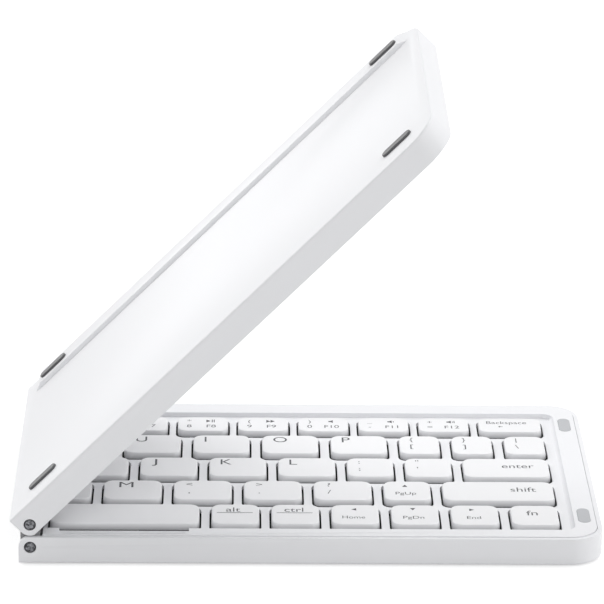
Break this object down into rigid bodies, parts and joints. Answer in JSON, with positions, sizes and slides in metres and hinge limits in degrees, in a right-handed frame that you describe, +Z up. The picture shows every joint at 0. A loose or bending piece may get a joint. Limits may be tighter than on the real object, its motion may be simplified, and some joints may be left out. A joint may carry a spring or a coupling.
{
  "type": "folding keyboard",
  "caption": "Slim white pocket keyboard of two hinged trays that fold face to face, with low scissor keys, a pinned spine along the fold, rubber feet and a charging socket.",
  "frame": {"origin": "middle of the outline in X and Y as drawn half open, on the plane that the rear feet stand on", "axes": "+X along the keys from the hinge to the tip of the right tray, +Y away from the user, +Z up"},
  "size_m": [0.1492, 0.0934, 0.1172],
  "materials": {
    "case_plastic": "satin white ABS with a fine moulded grain",
    "deck_plastic": "satin white ABS",
    "key_plastic": "smooth white ABS with printed legends",
    "bumper_rubber": "soft mid-grey silicone",
    "foot_rubber": "smooth dark grey rubber",
    "plate_steel": "sheet with a black coating",
    "switch_plastic": "natural silicone and acetal",
    "battery_foil": "foil pouch",
    "board_laminate": "green solder mask",
    "socket_steel": "plain steel shell",
    "spine_plastic": "dark grey nylon",
    "pin_steel": "blackened steel with a turned face",
    "flex_film": "amber polyimide film"
  },
  "bodies": {
    "right_tray": {"right_case": "case_plastic", "right_deck": "deck_plastic", "right_bumpers": "bumper_rubber", "right_feet": "foot_rubber", "right_key_plate": "plate_steel", "right_key_switches": "switch_plastic", "battery": "battery_foil", "main_board": "board_laminate", "charging_socket": "socket_steel"},
    "key_fn": {"key_fn": "key_plastic"},
    "key_right": {"key_right": "key_plastic"},
    "key_down": {"key_down": "key_plastic"},
    "key_left": {"key_left": "key_plastic"},
    "key_ctrl": {"key_ctrl": "key_plastic"},
    "key_alt": {"key_alt": "key_plastic"},
    "key_space": {"key_space": "key_plastic"},
    "key_shift": {"key_shift": "key_plastic"},
    "key_up": {"key_up": "key_plastic"},
    "key_slash": {"key_slash": "key_plastic"},
    "key_period": {"key_period": "key_plastic"},
    "key_comma": {"key_comma": "key_plastic"},
    "key_m": {"key_m": "key_plastic"},
    "key_n": {"key_n": "key_plastic"},
    "key_enter": {"key_enter": "key_plastic"},
    "key_quote": {"key_quote": "key_plastic"},
    "key_semicolon": {"key_semicolon": "key_plastic"},
    "key_l": {"key_l": "key_plastic"},
    "key_k": {"key_k": "key_plastic"},
    "key_j": {"key_j": "key_plastic"},
    "key_h": {"key_h": "key_plastic"},
    "key_backslash": {"key_backslash": "key_plastic"},
    "key_close_bracket": {"key_close_bracket": "key_plastic"},
    "key_open_bracket": {"key_open_bracket": "key_plastic"},
    "key_p": {"key_p": "key_plastic"},
    "key_o": {"key_o": "key_plastic"},
    "key_i": {"key_i": "key_plastic"},
    "key_u": {"key_u": "key_plastic"},
    "key_y": {"key_y": "key_plastic"},
    "key_backspace": {"key_backspace": "key_plastic"},
    "key_equals": {"key_equals": "key_plastic"},
    "key_minus": {"key_minus": "key_plastic"},
    "key_0": {"key_0": "key_plastic"},
    "key_9": {"key_9": "key_plastic"},
    "key_8": {"key_8": "key_plastic"},
    "key_7": {"key_7": "key_plastic"},
    "key_6": {"key_6": "key_plastic"},
    "spine": {"hinge_spine": "spine_plastic", "hinge_pins": "pin_steel", "flex_cable": "flex_film"},
    "left_tray": {"left_case": "case_plastic", "left_deck": "deck_plastic", "left_bumpers": "bumper_rubber", "left_feet": "foot_rubber", "left_key_plate": "plate_steel", "left_key_switches": "switch_plastic"},
    "left_bottom_keys": {"left_bottom_keys": "key_plastic"},
    "left_z_keys": {"left_z_keys": "key_plastic"},
    "left_a_keys": {"left_a_keys": "key_plastic"},
    "left_q_keys": {"left_q_keys": "key_plastic"},
    "left_number_keys": {"left_number_keys": "key_plastic"}
  },
  "joints": [
    {"name": "spine_fold", "type": "hinge", "parent": "right_tray", "child": "spine", "pos_m": [-0.0695, 0, 0.00605], "axis": [0, -1, 0], "range_deg": [0, 90]},
    {"name": "lid_fold", "type": "hinge", "parent": "spine", "child": "left_tray", "pos_m": [-0.0695, 0, 0.01215], "axis": [0, -1, 0], "range_deg": [-45.24, 44.76]},
    {"name": "press_fn", "type": "slide", "parent": "right_tray", "child": "key_fn", "axis": [0, 0, -1], "range_m": [0, 0.0011], "stiffness_N_per_m": 400},
    {"name": "press_right", "type": "slide", "parent": "right_tray", "child": "key_right", "axis": [0, 0, -1], "range_m": [0, 0.0011], "stiffness_N_per_m": 400},
    {"name": "press_down", "type": "slide", "parent": "right_tray", "child": "key_down", "axis": [0, 0, -1], "range_m": [0, 0.0011], "stiffness_N_per_m": 400},
    {"name": "press_left", "type": "slide", "parent": "right_tray", "child": "key_left", "axis": [0, 0, -1], "range_m": [0, 0.0011], "stiffness_N_per_m": 400},
    {"name": "press_ctrl", "type": "slide", "parent": "right_tray", "child": "key_ctrl", "axis": [0, 0, -1], "range_m": [0, 0.0011], "stiffness_N_per_m": 400},
    {"name": "press_alt", "type": "slide", "parent": "right_tray", "child": "key_alt", "axis": [0, 0, -1], "range_m": [0, 0.0011], "stiffness_N_per_m": 400},
    {"name": "press_space", "type": "slide", "parent": "right_tray", "child": "key_space", "axis": [0, 0, -1], "range_m": [0, 0.0011], "stiffness_N_per_m": 400},
    {"name": "press_shift", "type": "slide", "parent": "right_tray", "child": "key_shift", "axis": [0, 0, -1], "range_m": [0, 0.0011], "stiffness_N_per_m": 400},
    {"name": "press_up", "type": "slide", "parent": "right_tray", "child": "key_up", "axis": [0, 0, -1], "range_m": [0, 0.0011], "stiffness_N_per_m": 400},
    {"name": "press_slash", "type": "slide", "parent": "right_tray", "child": "key_slash", "axis": [0, 0, -1], "range_m": [0, 0.0011], "stiffness_N_per_m": 400},
    {"name": "press_period", "type": "slide", "parent": "right_tray", "child": "key_period", "axis": [0, 0, -1], "range_m": [0, 0.0011], "stiffness_N_per_m": 400},
    {"name": "press_comma", "type": "slide", "parent": "right_tray", "child": "key_comma", "axis": [0, 0, -1], "range_m": [0, 0.0011], "stiffness_N_per_m": 400},
    {"name": "press_m", "type": "slide", "parent": "right_tray", "child": "key_m", "axis": [0, 0, -1], "range_m": [0, 0.0011], "stiffness_N_per_m": 400},
    {"name": "press_n", "type": "slide", "parent": "right_tray", "child": "key_n", "axis": [0, 0, -1], "range_m": [0, 0.0011], "stiffness_N_per_m": 400},
    {"name": "press_enter", "type": "slide", "parent": "right_tray", "child": "key_enter", "axis": [0, 0, -1], "range_m": [0, 0.0011], "stiffness_N_per_m": 400},
    {"name": "press_quote", "type": "slide", "parent": "right_tray", "child": "key_quote", "axis": [0, 0, -1], "range_m": [0, 0.0011], "stiffness_N_per_m": 400},
    {"name": "press_semicolon", "type": "slide", "parent": "right_tray", "child": "key_semicolon", "axis": [0, 0, -1], "range_m": [0, 0.0011], "stiffness_N_per_m": 400},
    {"name": "press_l", "type": "slide", "parent": "right_tray", "child": "key_l", "axis": [0, 0, -1], "range_m": [0, 0.0011], "stiffness_N_per_m": 400},
    {"name": "press_k", "type": "slide", "parent": "right_tray", "child": "key_k", "axis": [0, 0, -1], "range_m": [0, 0.0011], "stiffness_N_per_m": 400},
    {"name": "press_j", "type": "slide", "parent": "right_tray", "child": "key_j", "axis": [0, 0, -1], "range_m": [0, 0.0011], "stiffness_N_per_m": 400},
    {"name": "press_h", "type": "slide", "parent": "right_tray", "child": "key_h", "axis": [0, 0, -1], "range_m": [0, 0.0011], "stiffness_N_per_m": 400},
    {"name": "press_backslash", "type": "slide", "parent": "right_tray", "child": "key_backslash", "axis": [0, 0, -1], "range_m": [0, 0.0011], "stiffness_N_per_m": 400},
    {"name": "press_close_bracket", "type": "slide", "parent": "right_tray", "child": "key_close_bracket", "axis": [0, 0, -1], "range_m": [0, 0.0011], "stiffness_N_per_m": 400},
    {"name": "press_open_bracket", "type": "slide", "parent": "right_tray", "child": "key_open_bracket", "axis": [0, 0, -1], "range_m": [0, 0.0011], "stiffness_N_per_m": 400},
    {"name": "press_p", "type": "slide", "parent": "right_tray", "child": "key_p", "axis": [0, 0, -1], "range_m": [0, 0.0011], "stiffness_N_per_m": 400},
    {"name": "press_o", "type": "slide", "parent": "right_tray", "child": "key_o", "axis": [0, 0, -1], "range_m": [0, 0.0011], "stiffness_N_per_m": 400},
    {"name": "press_i", "type": "slide", "parent": "right_tray", "child": "key_i", "axis": [0, 0, -1], "range_m": [0, 0.0011], "stiffness_N_per_m": 400},
    {"name": "press_u", "type": "slide", "parent": "right_tray", "child": "key_u", "axis": [0, 0, -1], "range_m": [0, 0.0011], "stiffness_N_per_m": 400},
    {"name": "press_y", "type": "slide", "parent": "right_tray", "child": "key_y", "axis": [0, 0, -1], "range_m": [0, 0.0011], "stiffness_N_per_m": 400},
    {"name": "press_backspace", "type": "slide", "parent": "right_tray", "child": "key_backspace", "axis": [0, 0, -1], "range_m": [0, 0.0011], "stiffness_N_per_m": 400},
    {"name": "press_equals", "type": "slide", "parent": "right_tray", "child": "key_equals", "axis": [0, 0, -1], "range_m": [0, 0.0011], "stiffness_N_per_m": 400},
    {"name": "press_minus", "type": "slide", "parent": "right_tray", "child": "key_minus", "axis": [0, 0, -1], "range_m": [0, 0.0011], "stiffness_N_per_m": 400},
    {"name": "press_0", "type": "slide", "parent": "right_tray", "child": "key_0", "axis": [0, 0, -1], "range_m": [0, 0.0011], "stiffness_N_per_m": 400},
    {"name": "press_9", "type": "slide", "parent": "right_tray", "child": "key_9", "axis": [0, 0, -1], "range_m": [0, 0.0011], "stiffness_N_per_m": 400},
    {"name": "press_8", "type": "slide", "parent": "right_tray", "child": "key_8", "axis": [0, 0, -1], "range_m": [0, 0.0011], "stiffness_N_per_m": 400},
    {"name": "press_7", "type": "slide", "parent": "right_tray", "child": "key_7", "axis": [0, 0, -1], "range_m": [0, 0.0011], "stiffness_N_per_m": 400},
    {"name": "press_6", "type": "slide", "parent": "right_tray", "child": "key_6", "axis": [0, 0, -1], "range_m": [0, 0.0011], "stiffness_N_per_m": 400},
    {"name": "press_left_bottom_keys", "type": "slide", "parent": "left_tray", "child": "left_bottom_keys", "axis": [-0.7101, 0, 0.7041], "range_m": [0, 0.0011], "stiffness_N_per_m": 2400},
    {"name": "press_left_z_keys", "type": "slide", "parent": "left_tray", "child": "left_z_keys", "axis": [-0.7101, 0, 0.7041], "range_m": [0, 0.0011], "stiffness_N_per_m": 2400},
    {"name": "press_left_a_keys", "type": "slide", "parent": "left_tray", "child": "left_a_keys", "axis": [-0.7101, 0, 0.7041], "range_m": [0, 0.0011], "stiffness_N_per_m": 2400},
    {"name": "press_left_q_keys", "type": "slide", "parent": "left_tray", "child": "left_q_keys", "axis": [-0.7101, 0, 0.7041], "range_m": [0, 0.0011], "stiffness_N_per_m": 2400},
    {"name": "press_left_number_keys", "type": "slide", "parent": "left_tray", "child": "left_number_keys", "axis": [-0.7101, 0, 0.7041], "range_m": [0, 0.0011], "stiffness_N_per_m": 2400}
  ]
}
